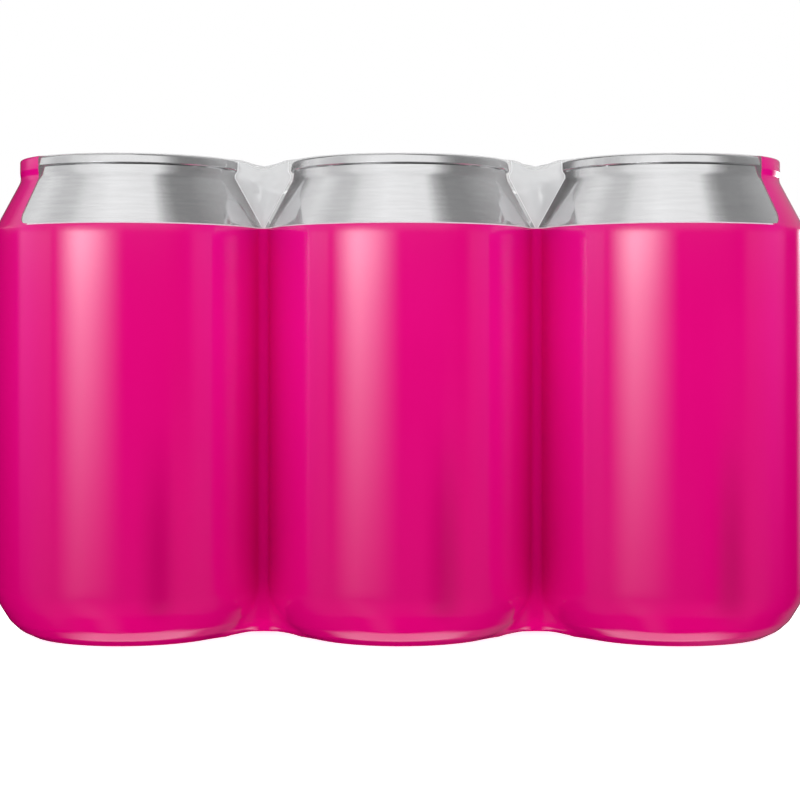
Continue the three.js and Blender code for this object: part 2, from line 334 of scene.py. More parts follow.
def can_azimuths(start, stop, focus):
    """Azimuths from start to stop, closer together round the focus, if there is one."""
    if focus is None:
        return np.linspace(start, stop, CAN_STEPS + 1)
    fine = np.linspace(start, stop, FOCUS_SAMPLES)
    density = 1 + FOCUS_GAIN * np.exp(-(((fine - focus) / FOCUS_WIDTH) ** 2))
    total = np.concatenate([[0], np.cumsum(density[1:] + density[:-1])])
    return np.interp(np.linspace(0, total[-1], CAN_STEPS + 1), total, fine)


def rim_radius(z):
    """The radius at that height of the circle round which the film starts to sink."""
    return np.interp(z, [c[1] for c in FILM_CORNERS], [c[0] for c in FILM_CORNERS])


def groove_depth(z):
    share = np.clip(1 - min(z, FILM_TOP - z) / EDGE_REACH, 0, 1)
    return GROOVE_DEPTH - EDGE_ROUND * (1 - math.sqrt(1 - share * share))


def front_outline(r, z):
    """The front half of the film's outline at one height: x, y and the way past the window's end."""
    depth = groove_depth(z)
    fillet = (depth**2 + HALF_PITCH**2 - r * r) / (2 * (r - depth))
    turn = math.asin(HALF_PITCH / (r + fillet))
    rows = []
    for column in range(COLUMNS):
        centre = column * PITCH - END_X
        start = -math.pi / 2 if column == 0 else -turn
        stop = math.pi / 2 if column == COLUMNS - 1 else turn
        focus = {0: -WINDOW_AZIMUTH, COLUMNS - 1: WINDOW_AZIMUTH}.get(column)
        for azimuth in can_azimuths(start, stop, focus):
            outward = {0: -azimuth, COLUMNS - 1: azimuth}.get(column, -math.pi)
            past = CAN_RADIUS * (outward - WINDOW_AZIMUTH)
            x = centre + r * math.sin(azimuth)
            rows.append((x, -HALF_PITCH - r * math.cos(azimuth), past))
        if column == COLUMNS - 1:
            break
        for i in range(1, GROOVE_STEPS):
            angle = turn * (2 * i / GROOVE_STEPS - 1)
            x = centre + HALF_PITCH + fillet * math.sin(angle)
            y = -HALF_PITCH - depth - fillet + fillet * math.cos(angle)
            rows.append((x, y, -CAN_RADIUS * WINDOW_AZIMUTH - CAN_RADIUS))
    return np.array(rows)


def end_outline(r):
    """The right end's outline at one height, from the front can's outermost line to the back can's."""
    centre = math.sqrt((r + END_FILLET) ** 2 - HALF_PITCH**2)
    lean = math.asin(HALF_PITCH / (r + END_FILLET))
    quarter = []
    for i in range(END_ARC_STEPS + 1):
        azimuth = math.pi / 2 + lean * i / END_ARC_STEPS
        quarter.append((END_X + r * math.sin(azimuth), -HALF_PITCH - r * math.cos(azimuth)))
    middle = []
    for i in range(1, END_FILLET_STEPS):
        angle = lean * (2 * i / END_FILLET_STEPS - 1)
        x = END_X + centre - END_FILLET * math.cos(angle)
        middle.append((x, END_FILLET * math.sin(angle)))
    back = [(x, -y) for x, y in reversed(quarter)]
    return np.array([*quarter, *middle, *back])


def nearest_can(x):
    column = np.clip(np.round((x + END_X) / PITCH), 0, COLUMNS - 1)
    return column * PITCH - END_X


def sag_at(x, y, z):
    away = np.hypot(x - nearest_can(x), np.abs(y) - HALF_PITCH) - rim_radius(z)
    near_top = smoothstep(z, FILM_TOP - SAG_HEIGHT, FILM_TOP)
    near_foot = 1 - smoothstep(z, 0, SAG_HEIGHT)
    share = smoothstep(away, SAG_START, SAG_START + SAG_REACH)
    return share * (SAG_FOOT * near_foot - SAG_TOP * near_top)


def film_surface():
    """The film's closed outer surface: points, quads, and how far each point is past the window's end
    and below its lower edge."""
    levels = film_levels()
    across = 2 * END_ARC_STEPS + END_FILLET_STEPS
    fronts = [front_outline(r, z) for r, z in levels]
    ends = [end_outline(r) for r, _ in levels]
    along = len(fronts[0]) - 1
    around = 2 * (along + across)
    end_past = CAN_RADIUS * (math.pi / 2 - WINDOW_AZIMUTH)
    points = []
    fields = []
    faces = []

    def add(x, y, z, past, below):
        points.append((x, y, z))
        fields.append((past, below))
        return len(points) - 1

    for (r, z), front, end in zip(levels, fronts, ends):
        below = WINDOW_LOW - z
        for x, y, past in front:
            add(x, y, z, past, below)
        for x, y in end[1:-1]:
            add(x, y, z, end_past + 1, below)
        for x, y, past in front[::-1]:
            add(x, -y, z, past, below)
        for x, y in end[1:-1][::-1]:
            add(-x, y, z, end_past + 1, below)

    for level in range(len(levels) - 1):
        low = level * around
        high = low + around
        for n in range(around):
            m = (n + 1) % around
            faces.append([low + n, low + m, high + m, high + n])

    def edge_index(k, j):
        if j == 0:
            return k
        if k == along:
            return along + j
        if j == across:
            return along + across + along - k
        return 2 * along + across + across - j

    for level in (0, len(levels) - 1):
        z = levels[level][1]
        front = fronts[level]
        end = ends[level]
        index = []
        for k in range(along + 1):
            index.append([])
            for j in range(across + 1):
                if k in (0, along) or j in (0, across):
                    index[k].append(level * around + edge_index(k, j))
                    continue
                pull = end[0][0] - end[j][0]
                ease = max(0.0, 1 - (end[0][0] - abs(front[k][0])) / END_EASE)
                x = front[k][0] - math.copysign(pull * ease, front[k][0])
                y = front[k][1] * end[j][1] / end[0][1]
                below = WINDOW_LOW - z
                index[k].append(add(x, y, z, front[k][2], below))
        for k in range(along):
            for j in range(across):
                quad = [index[k][j], index[k + 1][j], index[k + 1][j + 1], index[k][j + 1]]
                faces.append(quad[::-1] if level == 0 else quad)

    points = np.array(points)
    points[:, 2] += sag_at(points[:, 0], points[:, 1], points[:, 2])
    return points, faces, np.array(fields)


def hole_field(points):
    """Above zero inside the oval openings of the short ends, in about millimetres."""
    across = points[:, 1] / HOLE_HALF_WIDTH
    up = (points[:, 2] - HOLE_HEIGHT) / HOLE_HALF_HEIGHT
    return (1 - np.hypot(across, up)) * (HOLE_HALF_WIDTH + HOLE_HALF_HEIGHT) / 2


def window_field(fields):
    """Below zero in the clear window, with rounded lower corners."""
    past = fields[:, 0] + WINDOW_CORNER
    below = fields[:, 1] + WINDOW_CORNER
    inside = np.minimum(np.maximum(past, below), 0)
    return inside + np.hypot(np.maximum(past, 0), np.maximum(below, 0)) - WINDOW_CORNER


def puckered(points):
    """The film drawn into small folds that run out from its end openings."""
    out = -hole_field(points)
    angle = np.arctan2(points[:, 2] - HOLE_HEIGHT, points[:, 1])
    side = np.sign(points[:, 0])
    broad = np.sin(PUCKER_COUNTS[0] * angle + PUCKER_PHASES[0] * side)
    narrow = np.sin(PUCKER_COUNTS[1] * angle + PUCKER_PHASES[1])
    wave = broad + PUCKER_SECOND_SHARE * narrow
    fade = np.exp(-np.clip(out, 0, None) / PUCKER_REACH)
    at_end = smoothstep(np.abs(points[:, 0]), END_X + PUCKER_FADE[0], END_X + PUCKER_FADE[1])
    moved = points.copy()
    moved[:, 0] += side * PUCKER_DEPTH * (wave + PUCKER_LIFT) * fade * at_end
    return moved


def split(points, faces, field):
    """Cuts the faces along the line where field is zero. Returns the points, then the faces below and
    above zero, and how each new point mixes two old ones."""
    points = list(points)
    mixes = []
    made = {}
    below = []
    above = []

    def crossing(a, b):
        key = (min(a, b), max(a, b))
        if key not in made:
            low, high = key
            share = field[low] / (field[low] - field[high])
            points.append(points[low] + (points[high] - points[low]) * share)
            mixes.append((low, high, share))
            made[key] = len(points) - 1
        return made[key]

    for face in faces:
        values = [field[n] for n in face]
        if max(values) <= 0:
            below.append(face)
            continue
        if min(values) >= 0:
            above.append(face)
            continue
        parts = ([], [])
        for n, m in zip(face, face[1:] + face[:1]):
            side = int(field[n] > 0)
            parts[side].append(n)
            if (field[m] > 0) != side:
                cut = crossing(n, m)
                parts[0].append(cut)
                parts[1].append(cut)
        below.append(parts[0])
        above.append(parts[1])
    below = [f for f in below if len(f) > 2]
    above = [f for f in above if len(f) > 2]
    return np.array(points), below, above, mixes


def extended(values, mixes):
    """The values of points that split() added, mixed from those of the old points."""
    values = list(values)
    for low, high, share in mixes:
        values.append(values[low] + (values[high] - values[low]) * share)
    return np.array(values)


def vertex_normals(points, faces):
    normals = np.zeros_like(points)
    for face in faces:
        corners = points[face]
        first = corners[0]
        total = np.zeros(3)
        for a, b in zip(corners[1:-1], corners[2:]):
            total += np.cross(a - first, b - first)
        normals[face] += total
    return normals / np.maximum(np.linalg.norm(normals, axis=1, keepdims=True), 1e-9)


def shell(points, normals, faces, labels, thickness):
    """The faces given a thickness, with walls along their open edges: points, faces and labels."""
    used = sorted({n for face in faces for n in face})
    place = {n: i for i, n in enumerate(used)}
    count = len(used)
    outer = points[used]
    inner = outer - normals[used] * thickness
    made = []
    made_labels = []
    edges = {}
    for face, label in zip(faces, labels):
        local = [place[n] for n in face]
        made.append(local)
        made_labels.append(label)
        made.append([n + count for n in reversed(local)])
        made_labels.append(label)
        for a, b in zip(local, local[1:] + local[:1]):
            edges[a, b] = label
    for (a, b), label in edges.items():
        if (b, a) not in edges:
            made.append([b, a, a + count, b + count])
            made_labels.append(label)
    return np.vstack([outer, inner]), made, made_labels


def swept_ring(path, radius, sides):
    """A closed round bead along a closed path whose points go round the X axis."""
    count = len(path)
    points = []
    for i in range(count):
        ahead = path[(i + 1) % count] - path[i - 1]
        ahead /= np.linalg.norm(ahead)
        side = np.cross(ahead, (1.0, 0.0, 0.0))
        side /= np.linalg.norm(side)
        up = np.cross(side, ahead)
        for k in range(sides):
            angle = 2 * math.pi * k / sides
            points.append(path[i] + radius * (math.cos(angle) * side + math.sin(angle) * up))
    faces = []
    for i in range(count):
        j = (i + 1) % count
        for k in range(sides):
            m = (k + 1) % sides
            faces.append([i * sides + k, i * sides + m, j * sides + m, j * sides + k])
    return np.array(points), faces


# Node materials


class Nodes:
    """Short ways to add nodes to a material or a world."""

    def __init__(self, tree):
        self.tree = tree
        tree.nodes.clear()

    def add(self, kind, **settings):
        node = self.tree.nodes.new(kind)
        for key, value in settings.items():
            setattr(node, key, value)
        return node

    def link(self, output, socket):
        self.tree.links.new(output, socket)

    def put(self, value, socket):
        if isinstance(value, bpy.types.NodeSocket):
            self.link(value, socket)
        else:
            socket.default_value = value

    def maths(self, operation, a, b=0.0, c=0.0):
        node = self.add("ShaderNodeMath", operation=operation)
        for value, socket in zip((a, b, c), node.inputs):
            self.put(value, socket)
        return node.outputs[0]

    def mapped(self, value, low, high, to_low=0.0, to_high=1.0, smooth=True):
        kind = "SMOOTHSTEP" if smooth else "LINEAR"
        node = self.add("ShaderNodeMapRange", interpolation_type=kind)
        for item, socket in zip((value, low, high, to_low, to_high), node.inputs):
            self.put(item, socket)
        return node.outputs[0]

    def product(self, a, b):
        return self.maths("MULTIPLY", a, b)

    def falling(self, value, full, gone):
        return self.mapped(value, full, gone, 1.0, 0.0)

    def band(self, value, start, full, end, gone):
        """A share that rises from start to full and falls from end to gone."""
        return self.product(self.mapped(value, start, full), self.falling(value, end, gone))

    def mixed(self, share, colour, other):
        """The colour, with that share of another, plain one."""
        node = self.add("ShaderNodeMix", data_type="RGBA")
        self.link(share, node.inputs[0])
        self.link(colour, node.inputs[6])
        node.inputs[7].default_value = (*other, 1.0)
        return node.outputs[2]

    def noise(self, vector, scale, detail=2.0, roughness=0.5, stretch=None):
        if stretch is not None:
            mapping = self.add("ShaderNodeMapping")
            self.link(vector, mapping.inputs["Vector"])
            mapping.inputs["Scale"].default_value = stretch
            vector = mapping.outputs[0]
        node = self.add("ShaderNodeTexNoise")
        self.link(vector, node.inputs["Vector"])
        node.inputs["Scale"].default_value = scale
        node.inputs["Detail"].default_value = detail
        node.inputs["Roughness"].default_value = roughness
        return node.outputs["Fac"]

    def can_place(self, place):
        """How far a point is from the pack's middle across, then beside its can's axis, to the right
        as seen from outside, from the pack's middle plane and from the floor, in millimetres."""
        way = self.add("ShaderNodeSeparateXYZ")
        self.link(place, way.inputs[0])
        across = self.maths("DIVIDE", way.outputs[0], MM)
        column = self.maths("ROUND", self.maths("DIVIDE", across, PITCH))
        beside = self.maths("SUBTRACT", across, self.product(column, PITCH))
        depth = self.maths("DIVIDE", way.outputs[1], MM)
        beside = self.product(beside, self.maths("SIGN", self.product(depth, -1.0)))
        height = self.maths("DIVIDE", way.outputs[2], MM)
        return self.maths("ABSOLUTE", across), beside, self.maths("ABSOLUTE", depth), height

    def speckle(self, noise, colours, span=NOISE_SPAN):
        """A colour between two that follows the noise."""
        return self.colours(noise, list(zip(span, colours)))

    def varied(self, noise, low, high):
        """A value between low and high that follows the noise."""
        return self.mapped(noise, *NOISE_SPAN, low, high)

    def colours(self, factor, stops):
        node = self.add("ShaderNodeValToRGB")
        self.put(factor, node.inputs[0])
        ramp = node.color_ramp
        while len(ramp.elements) < len(stops):
            ramp.elements.new(1.0)
        for element, (position, colour) in zip(ramp.elements, stops):
            element.position = position
            element.color = (*colour, 1.0)
        return node.outputs[0]

    def bump(self, height, strength, distance):
        node = self.add("ShaderNodeBump")
        node.inputs["Strength"].default_value = strength
        node.inputs["Distance"].default_value = distance
        self.link(height, node.inputs["Height"])
        return node.outputs[0]


def new_material(name):
    """A material, its nodes, its output, the place on the object and a plain shader."""
    material = bpy.data.materials.new(name)
    material.use_nodes = True
    nodes = Nodes(material.node_tree)
    output = nodes.add("ShaderNodeOutputMaterial")
    place = nodes.add("ShaderNodeTexCoord").outputs["Object"]
    shader = nodes.add("ShaderNodeBsdfPrincipled")
    return material, nodes, output, place, shader


def printed_film_material():
    """Printed film: glossy where it lies on a can and dull in the grooves. It has painted light on a
    can's flanks, painted shade that deepens downwards, and a painted shade field low on each can."""
    material, nodes, output, place, shader = new_material("printed_film")
    across, beside, _, height = nodes.can_place(place)
    cloud = nodes.noise(place, scale=18.0, detail=3.0)
    colour = nodes.speckle(cloud, PRINT_COLOURS)
    outward = nodes.maths("ABSOLUTE", beside)
    dull = [HALF_PITCH - GROOVE_DULL_START, HALF_PITCH - GROOVE_DULL_FULL]
    dull += [HALF_PITCH + past for past in GROOVE_DULL_END]
    slack = nodes.band(outward, *dull)
    # Painted light: the print is painted paler on each can's flanks, less so in the grooves
    flank_light = nodes.product(nodes.mapped(outward, *FLANK_SIDES), nodes.falling(across, *FLANK_ENDS))
    flank_light = nodes.product(flank_light, nodes.maths("MULTIPLY_ADD", slack, GROOVE_DULL_AND_SHADE, 1.0))
    colour = nodes.mixed(flank_light, colour, FLANK_LIGHT_COLOUR)
    # Painted shade: the print's colour is painted darker downwards
    downward_shade = nodes.mapped(height, DOWNWARD_SHADE_START, 0.0, smooth=False)
    colour = nodes.mixed(downward_shade, colour, DOWNWARD_SHADE_COLOUR)
    # Painted shade: a soft darker field low on each can, right of its middle
    left, middle, right = SHADE_SIDES
    low, full, fading, gone = SHADE_HEIGHTS
    shade = nodes.band(beside, left, middle, middle, right)
    shade = nodes.product(shade, nodes.mapped(height, gone, fading))
    shade = nodes.product(shade, nodes.mapped(height, low, full))
    colour = nodes.mixed(shade, colour, SHADE_COLOUR)
    nodes.link(colour, shader.inputs["Base Color"])
    smear = nodes.noise(place, scale=60.0, stretch=(1.0, 1.0, 0.15))
    nodes.link(nodes.varied(smear, *PRINT_ROUGHNESS), shader.inputs["Roughness"])
    shine = nodes.maths("MULTIPLY_ADD", slack, GROOVE_DULL_AND_SHADE, PRINT_SPECULAR)
    nodes.link(shine, shader.inputs["Specular IOR Level"])
    shader.inputs["IOR"].default_value = 1.5
    ripple = nodes.noise(place, scale=45.0, stretch=(1.0, 1.0, 0.12))
    nodes.link(nodes.bump(ripple, strength=0.08, distance=0.0006), shader.inputs["Normal"])
    nodes.link(shader.outputs[0], output.inputs["Surface"])
    return material


# A whitish pink line along the print's lower edge by the window
def pale_line_material():
    material, nodes, output, place, shader = new_material("pale_line_surface")
    cloud = nodes.noise(place, scale=300.0)
    nodes.link(nodes.speckle(cloud, PALE_LINE_COLOURS), shader.inputs["Base Color"])
    nodes.link(nodes.varied(cloud, *PALE_LINE_ROUGHNESS), shader.inputs["Roughness"])
    nodes.link(shader.outputs[0], output.inputs["Surface"])
    return material


def clear_film_material():
    """Clear film: faintly milky on the metal and whiter where it turns away. Where it stands upright
    and spans freely between two necks it is milky white, partly haze and partly a painted sheen, with
    a painted highlight line where it leaves each."""
    material, nodes, output, place, shader = new_material("clear_film")
    shader.inputs["Base Color"].default_value = (*CLEAR_COLOUR, 1.0)
    haze = nodes.noise(place, scale=40.0)
    nodes.link(nodes.varied(haze, *CLEAR_ROUGHNESS), shader.inputs["Roughness"])
    ripple = nodes.noise(place, scale=70.0, stretch=(1.0, 1.0, 0.2))
    nodes.link(nodes.bump(ripple, strength=0.1, distance=0.0005), shader.inputs["Normal"])

    _, beside, depth, height = nodes.can_place(place)
    shoulder = nodes.mapped(height, *NECK_LINE[0], *NECK_LINE[1], smooth=False)
    shoulder = nodes.maths("ADD", shoulder, nodes.mapped(height, *SEAM_STEP[0], *SEAM_STEP[1]))
    free = nodes.maths("SUBTRACT", nodes.maths("ABSOLUTE", beside), shoulder)
    span = nodes.product(nodes.mapped(free, *SPAN_START), nodes.mapped(depth, *SPAN_DEPTH))
    # Milky white, partly the film's haze and partly a painted sheen, less so higher up
    milk = nodes.mapped(height, *MILK[0], *MILK[1])
    slope = nodes.add("ShaderNodeSeparateXYZ")
    nodes.link(nodes.add("ShaderNodeNewGeometry").outputs["Normal"], slope.inputs[0])
    upright = nodes.falling(nodes.maths("ABSOLUTE", slope.outputs[2]), *UPRIGHT_FADE)
    span = nodes.product(span, upright)
    # Painted highlight: a bright line along each neck's edge where the spanning film leaves it
    line = nodes.product(span, nodes.falling(free, *LINE_FADE))

    facing = nodes.add("ShaderNodeLayerWeight")
    facing.inputs["Blend"].default_value = EDGE_BLEND
    amount = nodes.mapped(facing.outputs["Facing"], 0.0, 1.0, *EDGE_MILK, smooth=False)
    amount = nodes.maths("MAXIMUM", amount, nodes.product(span, milk))
    amount = nodes.maths("MAXIMUM", amount, nodes.product(line, GLINT_LINE_SHARE))
    clear = nodes.add("ShaderNodeBsdfTransparent")
    mix = nodes.add("ShaderNodeMixShader")
    nodes.link(amount, mix.inputs[0])
    nodes.link(clear.outputs[0], mix.inputs[1])
    nodes.link(shader.outputs[0], mix.inputs[2])
    nodes.link(mix.outputs[0], output.inputs["Surface"])
    return material


def metal_material(name, base, roughness, grain, stretch, depth):
    """Bare aluminium with fine drawn lines: their scale, grain, how they are stretched, and depth."""
    material, nodes, output, place, shader = new_material(name)
    shader.inputs["Metallic"].default_value = 1.0
    lines = nodes.noise(place, scale=grain, detail=3.0, roughness=0.6, stretch=stretch)
    dull = tuple(METAL_DULL_SHARE * c for c in base)
    nodes.link(nodes.speckle(lines, (dull, base), GRAIN_SPAN), shader.inputs["Base Color"])
    low, high = METAL_ROUGH_SPREAD
    rough = nodes.varied(lines, roughness + low, roughness + high)
    nodes.link(rough, shader.inputs["Roughness"])
    nodes.link(nodes.bump(lines, strength=depth, distance=0.0002), shader.inputs["Normal"])
    nodes.link(shader.outputs[0], output.inputs["Surface"])
    return material


def can_print_material():
    material, nodes, output, place, shader = new_material("can_print")
    flake = nodes.noise(place, scale=900.0)
    nodes.link(nodes.speckle(flake, CAN_PRINT_COLOURS), shader.inputs["Base Color"])
    shader.inputs["Metallic"].default_value = CAN_PRINT_METALLIC
    nodes.link(nodes.varied(flake, *CAN_PRINT_ROUGHNESS), shader.inputs["Roughness"])
    nodes.link(shader.outputs[0], output.inputs["Surface"])
    return material


PRINTED = printed_film_material()
PALE_LINE = pale_line_material()
CLEAR = clear_film_material()
CAN_PRINT = can_print_material()
BARE_CAN = metal_material(
    "bare_can", PALE_METAL, roughness=0.1, grain=120.0, stretch=(1.0, 1.0, 14.0), depth=0.01
)
LID_METAL = metal_material(
    "lid_metal", LID_METAL_COLOUR, roughness=0.12, grain=60.0, stretch=(1.0, 10.0, 1.0), depth=0.02
)
TAB_METAL = metal_material(
    "tab_metal", PALE_METAL, roughness=0.18, grain=80.0, stretch=(8.0, 1.0, 1.0), depth=0.02
)


# The film


def build_film():
    """The film as two pieces: the print with its white line and the beads, and the clear window."""
    points, faces, fields = film_surface()
    points = puckered(points)
    points, faces, _, mixes = split(points, faces, hole_field(points))
    fields = extended(fields, mixes)
    hole_edge = points[len(points) - len(mixes) :]
    points, window, printed, mixes = split(points, faces, window_field(fields))
    fields = extended(fields, mixes)
    points, line, printed, mixes = split(points, printed, window_field(fields) - PALE_LINE_WIDTH)
    fields = extended(fields, mixes)
    normals = vertex_normals(points, window + line + printed)

    low_line = [fields[face, 0].mean() < -WINDOW_CORNER for face in line]
    labels = [int(low) for low in low_line] + [0] * len(printed)
    solid = shell(points, normals, line + printed, labels, FILM_THICKNESS)
    all_points, all_faces, all_labels = solid
    for side in (-1, 1):
        ring = hole_edge[np.sign(hole_edge[:, 0]) == side]
        ring = ring[np.argsort(np.arctan2(ring[:, 2] - HOLE_HEIGHT, ring[:, 1]))]
        ring[:, 0] -= side * FILM_THICKNESS / 2
        bead_points, bead_faces = swept_ring(ring, HOLE_BEAD / 2, BEAD_SIDES)
        start = len(all_points)
        all_points = np.vstack([all_points, bead_points])
        all_faces += [[n + start for n in face] for face in bead_faces]
        all_labels += [0] * len(bead_faces)
    printed_piece = make_object("film_print", all_points, all_faces, [PRINTED, PALE_LINE], all_labels)

    solid = shell(points, normals, window, [0] * len(window), FILM_THICKNESS)
    window_piece = make_object("film_window", solid[0], solid[1], [CLEAR])
    return printed_piece, window_piece


# The cans


def can_profile():
    """The can's outer wall from the middle of its domed base to just under its seam."""
    dome = []
    for share in np.linspace(0, 1, DOME_STEPS)[:-1]:
        height = DOME_FOOT_HEIGHT + (DOME_HEIGHT - DOME_FOOT_HEIGHT) * math.sqrt(1 - share**2)
        dome.append((share * DOME_RADIUS, height))
    under_seam = CAN_HEIGHT - SEAM_HEIGHT - 0.1
    wall = [
        dome[-1],
        (DOME_RADIUS, DOME_FOOT_HEIGHT),
        ((DOME_RADIUS + FOOT_RADIUS) / 2, 0.0),
        (FOOT_RADIUS, 0.5),
        (FLANK_TOP_RADIUS, FLANK_TOP_HEIGHT),
        (CAN_RADIUS, WALL_START_HEIGHT),
        (CAN_RADIUS, CAN_PRINT_TOP),
        (CAN_RADIUS, SHOULDER_HEIGHT),
        (NECK_RADIUS + 0.1, NECK_HEIGHT),
        (NECK_RADIUS - 0.2, under_seam),
        (NECK_RADIUS - 1.0, under_seam),
    ]
    radii = [0, 1.0, 1.2, 1.2, 6.0, 8.0, 0, 4.0, 4.0, 0, 0]
    body = rounded(wall, radii)
    return dome[:-1] + [tuple(p) for p in body]


def build_can(name, x, y):
    points, faces = lathe(can_profile(), CAN_SIDES)
    labels = []
    for face in faces:
        middle = points[face].mean(axis=0)
        in_base = middle[2] < BARE_BASE_HEIGHT and math.hypot(*middle[:2]) < BARE_BASE_RADIUS
        labels.append(int(middle[2] > CAN_PRINT_TOP or in_base))
    return make_object(name, points + (x, y, CAN_BASE), faces, [CAN_PRINT, BARE_CAN], labels)


def lid_profile():
    """The lid's outline from the rivet's top out over the panel and the seam, and back underneath."""
    seam_bottom = CAN_HEIGHT - SEAM_HEIGHT
    seam_inside = SEAM_RADIUS - SEAM_WIDTH
    outline = [
        (RIVET_RADIUS, PANEL_HEIGHT),
        (PANEL_RADIUS - 0.5, PANEL_HEIGHT),
        (PANEL_RADIUS + 0.1, PANEL_HEIGHT - 0.7),
        (COUNTERSINK_RADIUS - 0.9, COUNTERSINK_HEIGHT),
        (COUNTERSINK_RADIUS, COUNTERSINK_HEIGHT),
        (seam_inside, CAN_HEIGHT - 0.3),
        (seam_inside + 0.25, CAN_HEIGHT),
        (SEAM_RADIUS - 0.6, CAN_HEIGHT),
        (SEAM_RADIUS - 0.25, CAN_HEIGHT - 0.4),
        (SEAM_RADIUS, seam_bottom + 0.2),
        (SEAM_RADIUS - 0.2, seam_bottom),
        (seam_inside, seam_bottom),
    ]
    radii = [0, 0.5, 0.5, 0.5, 0.5, 0.3, 0.3, 0.4, 0.3, 0.15, 0.15, 0]
    path = rounded(outline, radii, 4)
    panel = refined(path[:2], PANEL_SPACING)
    under = [
        (seam_inside, seam_bottom - 0.05),
        (COUNTERSINK_RADIUS + 0.3, COUNTERSINK_HEIGHT - LID_THICKNESS),
        (COUNTERSINK_RADIUS - 1.2, COUNTERSINK_HEIGHT - LID_THICKNESS),
        (PANEL_RADIUS - 0.4, PANEL_HEIGHT - LID_THICKNESS),
        (0.0, PANEL_HEIGHT - LID_THICKNESS),
    ]
    rivet_top = PANEL_HEIGHT + RIVET_RISE
    rivet = [
        (0.0, rivet_top - 0.25),
        (1.0, rivet_top - 0.25),
        (1.3, rivet_top),
        (2.9, rivet_top),
        (3.0, rivet_top - 0.3),
        (RIVET_RADIUS, rivet_top - 0.4),
        (RIVET_RADIUS, PANEL_HEIGHT),
    ]
    head = rounded(rivet, [0, 0.2, 0.2, 0.25, 0.15, 0.1, 0], 3)
    return np.vstack([head[:-1], panel[:-1], path[1:], under])


def oval_distance(x, y, centre, half_length, half_width):
    """Roughly how far a point lies outside an oval, in millimetres."""
    reach = np.hypot((x - centre) / half_length, y / half_width)
    return (reach - 1) * (half_length + half_width) / 2


def pressed(points):
    """The score line of the pouring panel, its bead and the finger well, pressed into the panel."""
    x, y, z = points.T
    radius = np.hypot(x, y)
    on_panel = (np.abs(z - PANEL_HEIGHT) < 0.01) & (radius > PRESSED_FROM_RADIUS)
    score = oval_distance(x, y, *SCORE_OVAL)
    bead = oval_distance(x, y, *BEAD_OVAL)
    well = oval_distance(x, y, *WELL_OVAL)
    rim = oval_distance(x, y, *RIM_OVAL)
    shift = -SCORE_DEPTH * np.exp(-((score / SCORE_WIDTH) ** 2))
    shift += BEAD_RISE * np.exp(-((bead / BEAD_WIDTH) ** 2))
    shift -= WELL_DEPTH * smoothstep(-well, *WELL_SLOPE)
    shift += RIM_RISE * np.exp(-((rim / RIM_WIDTH) ** 2)) * smoothstep(-x, *RIM_FADE)
    moved = points.copy()
    moved[:, 2] += np.where(on_panel, shift, 0)
    return moved


def turned(points, angle):
    c = math.cos(angle)
    s = math.sin(angle)
    x, y, z = points.T
    return np.column_stack([c * x - s * y, s * x + c * y, z])


def build_lid(name, x, y, angle):
    points, faces = lathe(lid_profile()[::-1], LID_SIDES)
    points = turned(pressed(points), angle)
    return make_object(name, points + (x, y, CAN_BASE), faces, [LID_METAL], sharp=50)


def tab_outline():
    """The tab's outer edge, broad at the nose and rounder at the ring."""
    centre = TAB_NOSE_REACH - TAB_LENGTH / 2
    edge = []
    for i in range(TAB_SIDES):
        angle = 2 * math.pi * i / TAB_SIDES
        c = math.cos(angle)
        s = math.sin(angle)
        width = TAB_WIDTH / 2 * (1 + TAB_TAPER * c)
        edge.append((
            centre + TAB_LENGTH / 2 * math.copysign(abs(c) ** TAB_LENGTH_POWER, c),
            width * math.copysign(abs(s) ** TAB_WIDTH_POWER, s),
        ))
    return edge


def oval_edge(centre, half_length, half_width):
    return [
        (centre + half_length * math.cos(a), half_width * math.sin(a))
        for a in np.linspace(0, 2 * math.pi, HOLE_SIDES + 1)[:-1]
    ]


def plate(name, edges, thickness, bevel):
    """A flat plate with rounded edges and holes, from closed outlines in millimetres."""
    curve = bpy.data.curves.new(name, "CURVE")
    curve.dimensions = "2D"
    curve.fill_mode = "BOTH"
    curve.extrude = (thickness / 2 - bevel) * MM
    curve.bevel_depth = bevel * MM
    curve.bevel_resolution = 3
    curve.offset = -bevel * MM
    for edge in edges:
        spline = curve.splines.new("POLY")
        spline.points.add(len(edge) - 1)
        for point, (x, y) in zip(spline.points, edge):
            point.co = (x * MM, y * MM, 0, 1)
        spline.use_cyclic_u = True
    holder = bpy.data.objects.new(name, curve)
    bpy.context.scene.collection.objects.link(holder)
    bpy.context.view_layer.update()
    graph = bpy.context.evaluated_depsgraph_get()
    mesh = bpy.data.meshes.new_from_object(holder.evaluated_get(graph))
    points = np.array([v.co for v in mesh.vertices]) / MM
    faces = [list(p.vertices) for p in mesh.polygons]
    bpy.data.objects.remove(holder)
    bpy.data.curves.remove(curve)
    bpy.data.meshes.remove(mesh)
    return points, faces


def build_tab(name, x, y, angle, shape):
    points, faces = shape
    lift = CAN_BASE + PANEL_HEIGHT + GAP + TAB_THICKNESS / 2
    points = turned(points, angle) + (x, y, lift)
    return make_object(name, points, faces, [TAB_METAL], sharp=50)


RING_CENTRE = TAB_NOSE_REACH - TAB_LENGTH + RING_HOLE_LENGTH / 2 + RING_WIDTH
TAB_EDGES = [
    tab_outline(),
    oval_edge(RING_CENTRE, RING_HOLE_LENGTH / 2, RING_HOLE_WIDTH / 2),
    oval_edge(0.0, RIVET_HOLE_RADIUS + RIVET_HOLE_MARGIN, RIVET_HOLE_RADIUS + RIVET_HOLE_MARGIN),
]
TAB_SHAPE = plate("tab_shape", TAB_EDGES, TAB_THICKNESS, TAB_BEVEL)

film_print, film_window = build_film()
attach(film_print, "root")
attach(film_window, "root")
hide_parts("film")

